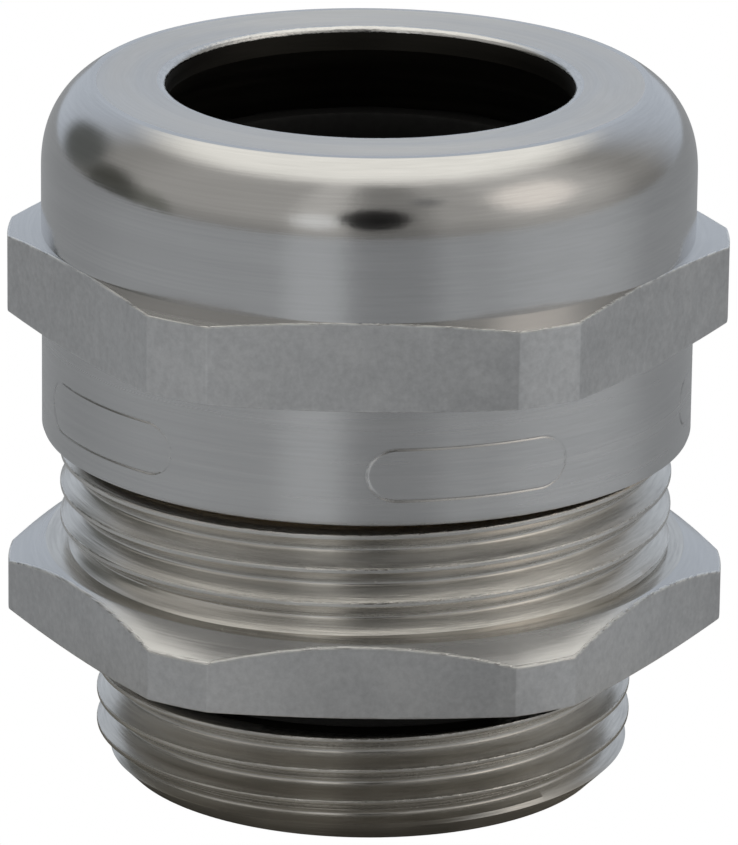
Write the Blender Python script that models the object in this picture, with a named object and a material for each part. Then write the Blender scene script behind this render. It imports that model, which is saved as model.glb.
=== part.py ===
"""Cable gland of nickel-plated brass with an M25 x 1.5 connection thread.

A gland body is screwed into an enclosure wall. A cap nut turns on its upper thread and presses the lamellae
of a polyamide clamping insert inwards, which close a rubber sealing insert round the cable.
Everything is turned about +Z. The origin is in the middle of the body's lower end face.
"""

import math

import bmesh
import bpy
from mathutils import Matrix, Vector

MM = 0.001

# Every length below is in millimetres, and every height is above the lower end face.
TURNED_SEGMENTS = 72
THREAD_SEGMENTS = 36
FIT_GAP = 0.3

# Gland body
SPANNER_SIZE = 30.0
CORNER_RADIUS = 16.5
SEAT_Z = 7.1
SEAT_INNER_RADIUS = 12.6
SEAT_RECESS = 0.2
SEAT_OUTER_RADIUS = 14.6
SEAT_CONE_RISE = 0.25
BODY_HEX_TOP_Z = 10.62
BODY_HEX_CONE_RADIUS = 14.8
BODY_HEX_CONE_DROP = 0.96
BODY_TOP_Z = 20.5
NECK_RADIUS = 10.9
NECK_BOTTOM_Z = 5.37
END_CHAMFER_RADIUS = 11.15
BORE_RADIUS = 9.5
INSERT_SEAT_Z = 12.0
INSERT_BORE_RADIUS = 12.0

# Connection thread, M25 x 1.5
CONNECTION_PITCH = 1.5
CONNECTION_CREST_RADIUS = 12.4
CONNECTION_ROOT_RADIUS = 11.5
CONNECTION_CREST_FLAT = 0.2
CONNECTION_FLANK_HEIGHT = 0.5
CONNECTION_CREST_Z = 5.12

# Cap thread, 28.3 mm across with sixteen turns to the inch
CAP_PITCH = 1.5875
CAP_CREST_RADIUS = 14.1
CAP_ROOT_RADIUS = 13.35
CAP_CREST_FLAT = 0.2
CAP_FLANK_HEIGHT = 0.6
CAP_CREST_Z = 15.36
CAP_NUT_CREST_RADIUS = 14.3
CAP_NUT_ROOT_RADIUS = 13.4
CAP_NUT_CREST_FLAT = 0.26
CAP_NUT_FLANK_HEIGHT = 0.655

# Cap nut
SKIRT_BOTTOM_Z = 16.14
SKIRT_RADIUS = 14.93
SKIRT_CHAMFER = 0.25
SKIRT_MOUTH_RADIUS = 14.45
NUT_HEX_BOTTOM_Z = 21.465
NUT_HEX_BOTTOM_RISE = 0.265
NUT_HEX_TOP_Z = 25.63
NUT_HEX_TOP_DROP = 0.31
NUT_HEX_TURN_DEG = -0.46
NUT_THREAD_TOP_Z = 24.75
NUT_BORE_RADIUS = 9.31
NUT_MINOR_RADIUS = 13.6
CONE_BOTTOM_Z = 24.9
CONE_TOP_Z = 31.4
LIP_ROUND = 0.36
LIP_ROUND_HEIGHT = 0.24
OVERALL_HEIGHT = 32.5
DOME_RADIUS = 14.96
DOME_START_Z = 28.4
SHOULDER_RADIAL = 5.02
SHOULDER_AXIAL = 4.66
SHOULDER_POWER = 2.35

# Clamping insert: a ring with a collar, and lamellae that each bend on a film hinge
LAMELLA_COUNT = 16
CAGE_INNER_RADIUS = 10.9
CAGE_OUTER_RADIUS = INSERT_BORE_RADIUS - FIT_GAP
COLLAR_RADIUS = 12.6
COLLAR_BOTTOM_Z = BODY_TOP_Z + FIT_GAP
COLLAR_TOP_Z = 21.7
HINGE_Z = 22.0
LAMELLA_LENGTH = 6.4
LAMELLA_THICKNESS = 1.0
LAMELLA_ROOT_WIDTH = 3.9
LAMELLA_TIP_WIDTH = 3.0
LAMELLA_LEAN_DEG = 9.6

# Sealing insert and connection seal
SEAL_INNER_RADIUS = 9.05
SEAL_OUTER_RADIUS = 10.6
SEAL_TIP_RADIUS = 10.2
SEAL_TAPER_Z = 24.0
SEAL_TOP_Z = 28.4
O_RING_CENTRE_RADIUS = 11.85
O_RING_SECTION_RADIUS = 0.62
O_RING_Z = 6.25


def clear_scene():
    for thing in list(bpy.data.objects):
        bpy.data.objects.remove(thing, do_unlink=True)


def make_material(name, colour, roughness, metallic):
    material = bpy.data.materials.new(name)
    material.use_nodes = True
    shader = material.node_tree.nodes["Principled BSDF"]
    shader.inputs["Base Color"].default_value = (*colour, 1.0)
    shader.inputs["Roughness"].default_value = roughness
    shader.inputs["Metallic"].default_value = metallic
    material.diffuse_color = (*colour, 1.0)
    return material


def add_object(name, mesh_data):
    thing = bpy.data.objects.new(name, mesh_data)
    bpy.context.scene.collection.objects.link(thing)
    return thing


def from_bmesh(name, bm):
    """An object made of the bmesh, whose lengths are millimetres."""
    bmesh.ops.recalc_face_normals(bm, faces=bm.faces[:])
    bmesh.ops.scale(bm, vec=(MM, MM, MM), verts=bm.verts[:])
    mesh = bpy.data.meshes.new(name)
    bm.to_mesh(mesh)
    bm.free()
    return add_object(name, mesh)


def turned(name, profile, segments=TURNED_SEGMENTS):
    """A solid of revolution about Z. The profile is a closed outline of (radius, height) points."""
    bm = bmesh.new()
    rings = []
    for radius, height in profile:
        if radius == 0.0:
            rings.append([bm.verts.new((0.0, 0.0, height))] * segments)
            continue
        turns = [2.0 * math.pi * k / segments for k in range(segments)]
        rings.append([bm.verts.new((radius * math.cos(a), radius * math.sin(a), height)) for a in turns])
    for lower, upper in zip(rings, rings[1:] + rings[:1]):
        for k in range(segments):
            n = (k + 1) % segments
            corners = list(dict.fromkeys((lower[k], lower[n], upper[n], upper[k])))
            if len(corners) > 2:
                bm.faces.new(corners)
    return from_bmesh(name, bm)


def thread_rod(name, pitch, crest, root, crest_flat, flank, crest_z, low_z, high_z):
    """A right-hand threaded rod that reaches past low_z and high_z.

    A crest passes azimuth -Y at height crest_z. The outline is one pitch of crest, flank, root and flank.
    """
    outline = [
        (crest, -crest_flat / 2),
        (crest, crest_flat / 2),
        (root, crest_flat / 2 + flank),
        (root, pitch - crest_flat / 2 - flank),
    ]
    count = THREAD_SEGMENTS
    first = math.floor((low_z - crest_z) / pitch) - 1
    turns = math.ceil((high_z - crest_z) / pitch) + 1 - first
    bm = bmesh.new()

    def corner(step, radius, height):
        angle = 2.0 * math.pi * step / count - math.pi / 2
        z = crest_z + pitch * (first + step / count) + height
        return bm.verts.new((radius * math.cos(angle), radius * math.sin(angle), z))

    rows = [[corner(k, *outline[0])] for k in range(count * (turns + 1) + 1)]
    for k in range(count * turns + 1):
        rows[k] += [corner(k, radius, height) for radius, height in outline[1:]]
        rows[k].append(rows[k + count][0])
    for lower, upper in zip(rows[: count * turns], rows[1:]):
        for a, b, c, d in zip(lower, upper, upper[1:], lower[1:]):
            bm.faces.new((a, b, c, d))
    foot = [rows[k][0] for k in range(count + 1)] + rows[0][-2:0:-1]
    last = count * turns
    head = rows[last][:-1] + [rows[k][0] for k in range(last + count, last, -1)]
    for loop, end in ((foot, -0.5), (head, 0.5)):
        middle = sum((v.co.z for v in loop)) / len(loop) + end * pitch
        tip = bm.verts.new((0.0, 0.0, middle))
        for a, b in zip(loop, loop[1:] + loop[:1]):
            bm.faces.new((a, b, tip))
    return from_bmesh(name, bm)


def hexagon(name, low_z, high_z, turn_deg=0.0):
    """A hexagonal prism with two flats square to Y, turned about Z by turn_deg."""
    bm = bmesh.new()
    reach = SPANNER_SIZE / math.sqrt(3.0)
    turn = Matrix.Rotation(math.radians(turn_deg), 4, "Z")
    rings = []
    for height in (low_z, high_z):
        corners = [turn @ Vector((reach * math.cos(a), reach * math.sin(a), height)) for a in hexagon_angles()]
        rings.append([bm.verts.new(c) for c in corners])
    bm.faces.new(rings[0])
    bm.faces.new(rings[1])
    for k in range(6):
        n = (k + 1) % 6
        bm.faces.new((rings[0][k], rings[0][n], rings[1][n], rings[1][k]))
    return from_bmesh(name, bm)


def hexagon_angles():
    return [math.radians(60.0 * k) for k in range(6)]


def combine(target, operation, *others):
    """Applies a Boolean of each other object to the target, and removes those objects."""
    for other in others:
        modifier = target.modifiers.new(operation.lower(), "BOOLEAN")
        modifier.operation = operation
        modifier.solver = "EXACT"
        modifier.object = other
    graph = bpy.context.evaluated_depsgraph_get()
    result = bpy.data.meshes.new_from_object(target.evaluated_get(graph))
    target.modifiers.clear()
    target.data = result
    for other in others:
        bpy.data.objects.remove(other, do_unlink=True)
    return target


def finish_piece(piece, name, material, sharp_deg=25.0):
    """Names the piece, gives it its material, and shades it smooth between its sharp edges."""
    piece.name = name
    piece.data.name = name
    piece.data.materials.clear()
    piece.data.materials.append(material)
    piece.data.shade_smooth()
    piece.data.set_sharp_from_angle(angle=math.radians(sharp_deg))
    return piece


def arc(centre, radii, start_deg, end_deg, steps):
    """Points on an elliptical arc in the (radius, height) plane."""
    angles = [math.radians(start_deg + (end_deg - start_deg) * k / steps) for k in range(steps + 1)]
    return [(centre[0] + radii[0] * math.cos(a), centre[1] + radii[1] * math.sin(a)) for a in angles]


def body_hex():
    """The spanner hexagon. Its underside is the seat, recessed near the neck to clear the O-ring."""
    prism = hexagon("body_hex", SEAT_Z - 1.0, BODY_HEX_TOP_Z + 1.0)
    envelope = turned(
        "body_hex_envelope",
        [
            (0.0, SEAT_Z + SEAT_RECESS),
            (SEAT_INNER_RADIUS, SEAT_Z + SEAT_RECESS),
            (SEAT_INNER_RADIUS, SEAT_Z),
            (SEAT_OUTER_RADIUS, SEAT_Z),
            (CORNER_RADIUS, SEAT_Z + SEAT_CONE_RISE),
            (CORNER_RADIUS, BODY_HEX_TOP_Z - BODY_HEX_CONE_DROP),
            (BODY_HEX_CONE_RADIUS, BODY_HEX_TOP_Z),
            (0.0, BODY_HEX_TOP_Z),
        ],
    )
    return combine(prism, "INTERSECT", envelope)


def connection_thread():
    rod = thread_rod(
        "connection_thread",
        CONNECTION_PITCH,
        CONNECTION_CREST_RADIUS,
        CONNECTION_ROOT_RADIUS,
        CONNECTION_CREST_FLAT,
        CONNECTION_FLANK_HEIGHT,
        CONNECTION_CREST_Z,
        0.0,
        NECK_BOTTOM_Z,
    )
    outside = CONNECTION_CREST_RADIUS + 0.1
    envelope = turned(
        "connection_envelope",
        [
            (0.0, 0.0),
            (END_CHAMFER_RADIUS, 0.0),
            (outside, outside - END_CHAMFER_RADIUS),
            (outside, NECK_BOTTOM_Z),
            (0.0, NECK_BOTTOM_Z),
        ],
    )
    return combine(rod, "INTERSECT", envelope)


def cap_thread():
    rod = thread_rod(
        "cap_thread",
        CAP_PITCH,
        CAP_CREST_RADIUS,
        CAP_ROOT_RADIUS,
        CAP_CREST_FLAT,
        CAP_FLANK_HEIGHT,
        CAP_CREST_Z,
        SEAT_Z + 1.0,
        BODY_TOP_Z,
    )
    outside = CAP_CREST_RADIUS + 0.1
    envelope = turned(
        "cap_envelope",
        [
            (0.0, SEAT_Z + 1.0),
            (outside, SEAT_Z + 1.0),
            (outside, BODY_TOP_Z - (outside - CAP_ROOT_RADIUS)),
            (CAP_ROOT_RADIUS, BODY_TOP_Z),
            (0.0, BODY_TOP_Z),
        ],
    )
    return combine(rod, "INTERSECT", envelope)


def gland_body(material):
    """The double nipple: connection thread, neck for the seal, spanner hexagon and cap thread on one bored blank."""
    body = body_hex()
    neck = turned(
        "neck",
        [(0.0, SEAT_Z - 4.0), (NECK_RADIUS, SEAT_Z - 4.0), (NECK_RADIUS, SEAT_Z + 1.0), (0.0, SEAT_Z + 1.0)],
    )
    combine(body, "UNION", neck)
    combine(body, "UNION", connection_thread())
    combine(body, "UNION", cap_thread())
    mouth = 0.5
    rim = 0.4
    bore = turned(
        "bore",
        [
            (0.0, -1.0),
            (BORE_RADIUS + mouth + 1.0, -1.0),
            (BORE_RADIUS, mouth),
            (BORE_RADIUS, INSERT_SEAT_Z),
            (INSERT_BORE_RADIUS, INSERT_SEAT_Z),
            (INSERT_BORE_RADIUS, BODY_TOP_Z - rim),
            (INSERT_BORE_RADIUS + rim + 1.0, BODY_TOP_Z + 1.0),
            (0.0, BODY_TOP_Z + 1.0),
        ],
    )
    combine(body, "DIFFERENCE", bore)
    return finish_piece(body, "gland_body", material)


def shoulder_radius(z):
    """The radius of the nut's shoulder, which is a little squarer than an ellipse."""
    up = (z - DOME_START_Z) / SHOULDER_AXIAL
    return DOME_RADIUS - SHOULDER_RADIAL * (1.0 - (1.0 - up**SHOULDER_POWER) ** (1.0 / SHOULDER_POWER))


def dome_outline():
    """The outside of the nut from the hexagon up: a cylinder, the shoulder and the flat ring's outer edge."""
    rise = OVERALL_HEIGHT - DOME_START_Z
    heights = [DOME_START_Z + rise * math.sin(math.radians(7.5 * k)) for k in range(13)]
    return [(DOME_RADIUS, NUT_HEX_BOTTOM_Z + 2.0)] + [(shoulder_radius(z), z) for z in heights]


def cap_nut(material):
    """The dome nut: threaded skirt, spanner hexagon and shoulder, with a cone inside that drives the lamellae."""
    lip = arc(
        (NUT_BORE_RADIUS + LIP_ROUND, OVERALL_HEIGHT - LIP_ROUND_HEIGHT),
        (LIP_ROUND, LIP_ROUND_HEIGHT),
        90.0,
        180.0,
        4,
    )
    mouth_height = SKIRT_MOUTH_RADIUS - NUT_MINOR_RADIUS
    outline = [
        (SKIRT_RADIUS - SKIRT_CHAMFER, SKIRT_BOTTOM_Z),
        (SKIRT_RADIUS, SKIRT_BOTTOM_Z + SKIRT_CHAMFER),
        (SKIRT_RADIUS, NUT_HEX_BOTTOM_Z + 2.0),
        *dome_outline(),
        *lip,
        (NUT_BORE_RADIUS, CONE_TOP_Z),
        (NUT_MINOR_RADIUS, CONE_BOTTOM_Z),
        (NUT_MINOR_RADIUS, SKIRT_BOTTOM_Z + mouth_height),
        (SKIRT_MOUTH_RADIUS, SKIRT_BOTTOM_Z),
    ]
    nut = turned("nut_blank", outline)
    prism = hexagon("nut_hex", NUT_HEX_BOTTOM_Z - 1.0, NUT_HEX_TOP_Z + 1.0, NUT_HEX_TURN_DEG)
    inside = SKIRT_RADIUS - 0.2
    envelope = turned(
        "nut_hex_envelope",
        [
            (inside, NUT_HEX_BOTTOM_Z),
            (CORNER_RADIUS, NUT_HEX_BOTTOM_Z + NUT_HEX_BOTTOM_RISE),
            (CORNER_RADIUS, NUT_HEX_TOP_Z - NUT_HEX_TOP_DROP),
            (inside, NUT_HEX_TOP_Z),
        ],
    )
    combine(prism, "INTERSECT", envelope)
    combine(nut, "UNION", prism)
    rod = thread_rod(
        "nut_thread",
        CAP_PITCH,
        CAP_NUT_CREST_RADIUS,
        CAP_NUT_ROOT_RADIUS,
        CAP_NUT_CREST_FLAT,
        CAP_NUT_FLANK_HEIGHT,
        CAP_CREST_Z,
        SKIRT_BOTTOM_Z - 1.0,
        NUT_THREAD_TOP_Z,
    )
    outside = CAP_NUT_CREST_RADIUS + 0.1
    reach = turned(
        "nut_thread_envelope",
        [
            (0.0, SKIRT_BOTTOM_Z - 1.0),
            (outside, SKIRT_BOTTOM_Z - 1.0),
            (outside, NUT_THREAD_TOP_Z),
            (0.0, NUT_THREAD_TOP_Z),
        ],
    )
    combine(rod, "INTERSECT", reach)
    combine(nut, "DIFFERENCE", rod)
    return finish_piece(nut, "cap_nut", material)


def clamp_cage(material):
    """The clamping insert's ring. It sits in the body's upper bore, and its collar lies over the body's rim."""
    foot_z = INSERT_SEAT_Z + FIT_GAP
    cage = turned(
        "clamp_cage",
        [
            (CAGE_INNER_RADIUS, foot_z),
            (CAGE_OUTER_RADIUS, foot_z),
            (CAGE_OUTER_RADIUS, COLLAR_BOTTOM_Z),
            (COLLAR_RADIUS, COLLAR_BOTTOM_Z),
            (COLLAR_RADIUS, COLLAR_TOP_Z),
            (CAGE_INNER_RADIUS, COLLAR_TOP_Z),
        ],
        segments=48,
    )
    return finish_piece(cage, "clamp_cage", material)


def lamella(name, material):
    """One lamella, straight up on the +X side, with its film hinge on its own origin."""
    bevel = 0.55
    # The foot is cut back inside, so that it clears the collar when the lamella is closed.
    outline = [
        (-LAMELLA_THICKNESS, 0.4),
        (-0.5, 0.0),
        (0.0, 1.2),
        (0.0, LAMELLA_LENGTH - 1.0),
        (-bevel, LAMELLA_LENGTH),
        (-LAMELLA_THICKNESS, LAMELLA_LENGTH),
    ]
    bm = bmesh.new()
    sides = []
    for side in (-0.5, 0.5):
        taper = (LAMELLA_TIP_WIDTH - LAMELLA_ROOT_WIDTH) / LAMELLA_LENGTH
        points = [(x, side * (LAMELLA_ROOT_WIDTH + taper * z), z) for x, z in outline]
        sides.append([bm.verts.new(point) for point in points])
    bm.faces.new(sides[0])
    bm.faces.new(sides[1])
    for k in range(len(outline)):
        n = (k + 1) % len(outline)
        bm.faces.new((sides[0][k], sides[0][n], sides[1][n], sides[1][k]))
    return finish_piece(from_bmesh(name, bm), name, material)


def lamellae(material):
    """The lamellae round the collar, each leaning inwards on its hinge."""
    first = lamella("lamella_01", material)
    pieces = [first]
    for k in range(1, LAMELLA_COUNT):
        pieces.append(add_object(f"lamella_{k + 1:02d}", first.data))
    for k, piece in enumerate(pieces):
        azimuth = 2.0 * math.pi * k / LAMELLA_COUNT
        out = Vector((math.cos(azimuth), math.sin(azimuth), 0.0))
        piece.location = (out * COLLAR_RADIUS + Vector((0.0, 0.0, HINGE_Z))) * MM
        piece.rotation_euler = (0.0, -math.radians(LAMELLA_LEAN_DEG), azimuth)
    return pieces


def sealing_insert(material):
    """The rubber sleeve inside the clamping insert, standing on the seat in the body's upper bore."""
    foot_z = INSERT_SEAT_Z + FIT_GAP
    seal = turned(
        "sealing_insert",
        [
            (SEAL_INNER_RADIUS, foot_z),
            (SEAL_OUTER_RADIUS, foot_z),
            (SEAL_OUTER_RADIUS, SEAL_TAPER_Z),
            (SEAL_TIP_RADIUS, SEAL_TOP_Z),
            (SEAL_INNER_RADIUS, SEAL_TOP_Z),
        ],
        segments=48,
    )
    return finish_piece(seal, "sealing_insert", material)


def connection_o_ring(material):
    section = arc((O_RING_CENTRE_RADIUS, O_RING_Z), (O_RING_SECTION_RADIUS,) * 2, 0.0, 324.0, 9)
    return finish_piece(turned("connection_o_ring", section, segments=48), "connection_o_ring", material, 60.0)


def main():
    clear_scene()
    nickel = make_material("nickel_plated_brass", (0.56, 0.56, 0.54), 0.3, 1.0)
    polyamide = make_material("black_polyamide", (0.02, 0.02, 0.022), 0.5, 0.0)
    rubber = make_material("black_rubber", (0.015, 0.015, 0.015), 0.75, 0.0)
    gland_body(nickel)
    cap_nut(nickel)
    clamp_cage(polyamide)
    lamellae(polyamide)
    sealing_insert(rubber)
    connection_o_ring(rubber)


main()
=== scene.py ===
"""The looks of the cable gland: fine threads, hexagons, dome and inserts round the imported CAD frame."""

import math

import bmesh
import bpy
import numpy as np
from mathutils import Matrix, Vector


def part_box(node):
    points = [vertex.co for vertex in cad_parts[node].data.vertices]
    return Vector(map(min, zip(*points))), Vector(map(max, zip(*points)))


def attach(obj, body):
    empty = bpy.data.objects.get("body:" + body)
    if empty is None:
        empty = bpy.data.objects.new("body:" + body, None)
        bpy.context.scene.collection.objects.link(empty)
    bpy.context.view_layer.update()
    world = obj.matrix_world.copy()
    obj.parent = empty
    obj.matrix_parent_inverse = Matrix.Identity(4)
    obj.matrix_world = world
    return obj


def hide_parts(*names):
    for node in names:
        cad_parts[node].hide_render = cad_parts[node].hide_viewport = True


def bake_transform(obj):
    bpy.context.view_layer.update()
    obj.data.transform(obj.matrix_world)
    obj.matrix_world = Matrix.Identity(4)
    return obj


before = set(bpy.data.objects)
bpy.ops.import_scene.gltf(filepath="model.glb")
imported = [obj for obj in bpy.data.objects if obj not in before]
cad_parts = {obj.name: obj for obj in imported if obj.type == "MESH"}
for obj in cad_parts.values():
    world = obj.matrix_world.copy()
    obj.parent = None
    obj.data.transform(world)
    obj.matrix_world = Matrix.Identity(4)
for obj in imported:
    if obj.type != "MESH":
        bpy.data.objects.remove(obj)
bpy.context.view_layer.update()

MM = 0.001
TAU = 2.0 * math.pi
FRONT = -math.pi / 2  # the azimuth of -Y, which faces the camera


def node_corners(name):
    """A CAD node's lowest and highest corners, in millimetres."""
    return [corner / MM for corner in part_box(name)]


# Sizes in millimetres. The outer ones are read from the frame, and the rest are the CAD part's own.
body_high = node_corners("gland_body")[1]
nut_low, nut_high = node_corners("cap_nut")
cage_low, cage_high = node_corners("clamp_cage")
seal_low, seal_high = node_corners("sealing_insert")
ring_low, ring_high = node_corners("connection_o_ring")

CORNER_RADIUS = body_high.x
FLAT_RADIUS = 15.0
BODY_TOP_Z = body_high.z
SKIRT_BOTTOM_Z = nut_low.z
OVERALL_Z = nut_high.z

SEAT_Z = 7.1
SEAT_INNER_RADIUS = 12.6
SEAT_OUTER_RADIUS = 14.6
SEAT_RECESS = 0.2
SEAT_CONE_RISE = 0.25
BODY_HEX_TOP_Z = 10.62
BODY_HEX_CONE_RADIUS = 14.8
BODY_HEX_CONE_DROP = 0.96
NECK_RADIUS = 10.9
NECK_BOTTOM_Z = 5.37
END_CHAMFER_RADIUS = 11.15
BORE_RADIUS = 9.5
INSERT_SEAT_Z = 12.0
INSERT_BORE_RADIUS = 12.0
CHAMFER_EDGE = 0.04  # how far a chamfer's edges are rounded

CAP_PITCH = 1.5875
CAP_CREST_RADIUS = 14.1
CAP_ROOT_RADIUS = 13.35
CAP_CREST_Z = 15.36
CAP_RUN_OUT_Z = 11.3
CAP_RUN_OUT = 0.7

SKIRT_RADIUS = 14.93
SKIRT_MOUTH_RADIUS = 14.45
NUT_HEX_BOTTOM_Z = 21.465
NUT_HEX_BOTTOM_RISE = 0.265
NUT_HEX_TOP_Z = 25.63
NUT_HEX_TOP_DROP = 0.31
NUT_HEX_TURN = math.radians(-0.46)
NUT_BORE_RADIUS = 9.31
NUT_MINOR_RADIUS = 13.6
NUT_THREAD_TOP_Z = 24.75
CONE_BOTTOM_Z = 24.9
CONE_TOP_Z = 31.4
LIP_ROUND = 0.36
LIP_ROUND_HEIGHT = 0.24
DOME_RADIUS = 14.96
DOME_START_Z = 28.4
SHOULDER_RADIAL = 5.02
SHOULDER_AXIAL = 4.66
SHOULDER_POWER = 2.35
TOP_EDGE = 0.35  # how wide the softened edge between shoulder and top ring is
TOP_EDGE_DROP = 0.02

PAD_COUNT = 5
PAD_FIRST_AZIMUTH = math.radians(18.6)
PAD_MIDDLE_Z = 18.56
PAD_HALF_HEIGHT = 1.19
PAD_HALF_WIDTH = 4.72
PAD_END = 1.36  # the length of a pad's rounded end
PAD_FINE_STEP = 0.045  # between the finer points there
PAD_LEAST_GAP = 0.0011  # radians: a finer point closer than this to its neighbour is dropped
SCRIBE_HALF_WIDTH = 0.075
SCRIBE_DEPTH = 0.035

HINGE_Z = 22.0
LAMELLA_COUNT = 16
LAMELLA_LEAN = math.radians(9.6)
LAMELLA_LENGTH = 6.4


# ---------------------------------------------------------------- meshes


class Shell:
    """A mesh made of rings of points round Z, in millimetres. Each point has a value from 0 to 1 for edge
    wear, which roughens and burrs the edge and also paints a highlight on it.
    """

    def __init__(self):
        self.points = []
        self.wear_and_highlight = []
        self.faces = []
        self.finish = []

    def ring(self, angles, radii, heights, wear_and_highlight=0.0):
        """Adds one ring, and returns its point numbers and its angles."""
        start = len(self.points)
        radii = np.broadcast_to(radii, len(angles))
        heights = np.broadcast_to(heights, len(angles))
        xs, ys = radii * np.cos(angles), radii * np.sin(angles)
        self.points += list(zip(xs, ys, heights))
        self.wear_and_highlight += list(np.broadcast_to(wear_and_highlight, len(angles)))
        return list(range(start, start + len(angles))), angles

    def join(self, lower, upper, finish=0):
        """Adds the faces between two rings. One ring's angles may be a finer set than the other's."""
        (a, angles_a), (b, angles_b) = lower, upper
        if len(a) == len(b):
            self.faces += [(a[k], a[k + 1], b[k + 1], b[k]) for k in range(len(a) - 1)]
            self.finish += [finish] * (len(a) - 1)
            return
        flip = len(a) > len(b)
        if flip:
            a, angles_a, b, angles_b = b, angles_b, a, angles_a
        coarse, fine = a, b
        spots = np.searchsorted(angles_b, angles_a - 1e-9)
        for k in range(len(coarse) - 1):
            face = [coarse[k], coarse[k + 1]] + fine[spots[k] : spots[k + 1] + 1][::-1]
            self.faces.append(tuple(face[::-1] if flip else face))
            self.finish.append(finish)

    def sweep(self, angles, outline, previous=None):
        """Joins a run of rings. An entry is (radii, heights, edge wear and painted highlight, finish of the
        strip leading to it).
        """
        for radii, heights, wear_and_highlight, finish in outline:
            current = self.ring(angles, radii, heights, wear_and_highlight)
            if previous is not None:
                self.join(previous, current, finish)
            previous = current
        return previous

    def build(self, name, materials, sharp_deg=32.0):
        """Merges coinciding points, drops faces with no area, and returns the object."""
        points = np.array(self.points)
        _, first, index = np.unique(np.round(points, 5), axis=0, return_index=True, return_inverse=True)
        index = index.reshape(-1)
        faces, finish = [], []
        for face, kind in zip(self.faces, self.finish):
            corners = [index[i] for i in face]
            kept = [c for k, c in enumerate(corners) if c != corners[k - 1]]
            if len(kept) > 2 and len(set(kept)) == len(kept):
                faces.append(kept)
                finish.append(kind)
        mesh = bpy.data.meshes.new(name)
        mesh.from_pydata((points[first] * MM).tolist(), [], [[int(c) for c in f] for f in faces])
        mesh.polygons.foreach_set("material_index", finish)
        wear_and_highlight = mesh.attributes.new("wear_and_highlight", "FLOAT", "POINT")
        wear_and_highlight.data.foreach_set("value", np.array(self.wear_and_highlight, np.float32)[first])
        for material in materials:
            mesh.materials.append(material)
        mesh.update()
        turn_outwards(mesh)
        mesh.shade_smooth()
        mesh.set_sharp_from_angle(angle=math.radians(sharp_deg))
        piece = bpy.data.objects.new(name, mesh)
        bpy.context.scene.collection.objects.link(piece)
        return piece


def turn_outwards(mesh):
    """Turns every face's normal to the outside."""
    bm = bmesh.new()
    bm.from_mesh(mesh)
    bmesh.ops.recalc_face_normals(bm, faces=bm.faces[:])
    bm.to_mesh(mesh)
    bm.free()


def weigh_normals(piece):
    """Keeps flats flat beside their narrow rounded edges."""
    modifier = piece.modifiers.new("weigh_normals", "WEIGHTED_NORMAL")
    modifier.mode = "FACE_AREA"
    modifier.weight = 50
    modifier.keep_sharp = True
    return piece


def hex_angles(turn):
    """Ring angles: even steps, plus the exact ends of the turned corner arcs and a few steps beside them."""
    arc = math.acos(FLAT_RADIUS / CORNER_RADIUS)
    ends = [turn + math.radians(60 * k + 30) + side * arc for k in range(6) for side in (-1, 1)]
    round_off = [0.0, -0.0028, 0.0028, -0.0056, 0.0056]
    even = np.linspace(0.0, TAU, 481)
    exact = np.sort(np.array([(e + r) % TAU for e in ends for r in round_off]))
    far = [a for a in even if np.abs(exact - a).min() > 0.004 or a in (0.0, TAU)]
    return np.unique(np.concatenate([far, exact]))


def hex_radius(angles, turn):
    """The radius of the hexagon's flats and of its turned corners, with the edges between them rounded."""
    off = (np.asarray(angles) - turn - math.pi / 2 + math.pi / 6) % (math.pi / 3) - math.pi / 6
    return soft_min(FLAT_RADIUS / np.cos(off), CORNER_RADIUS, 0.02)


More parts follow.
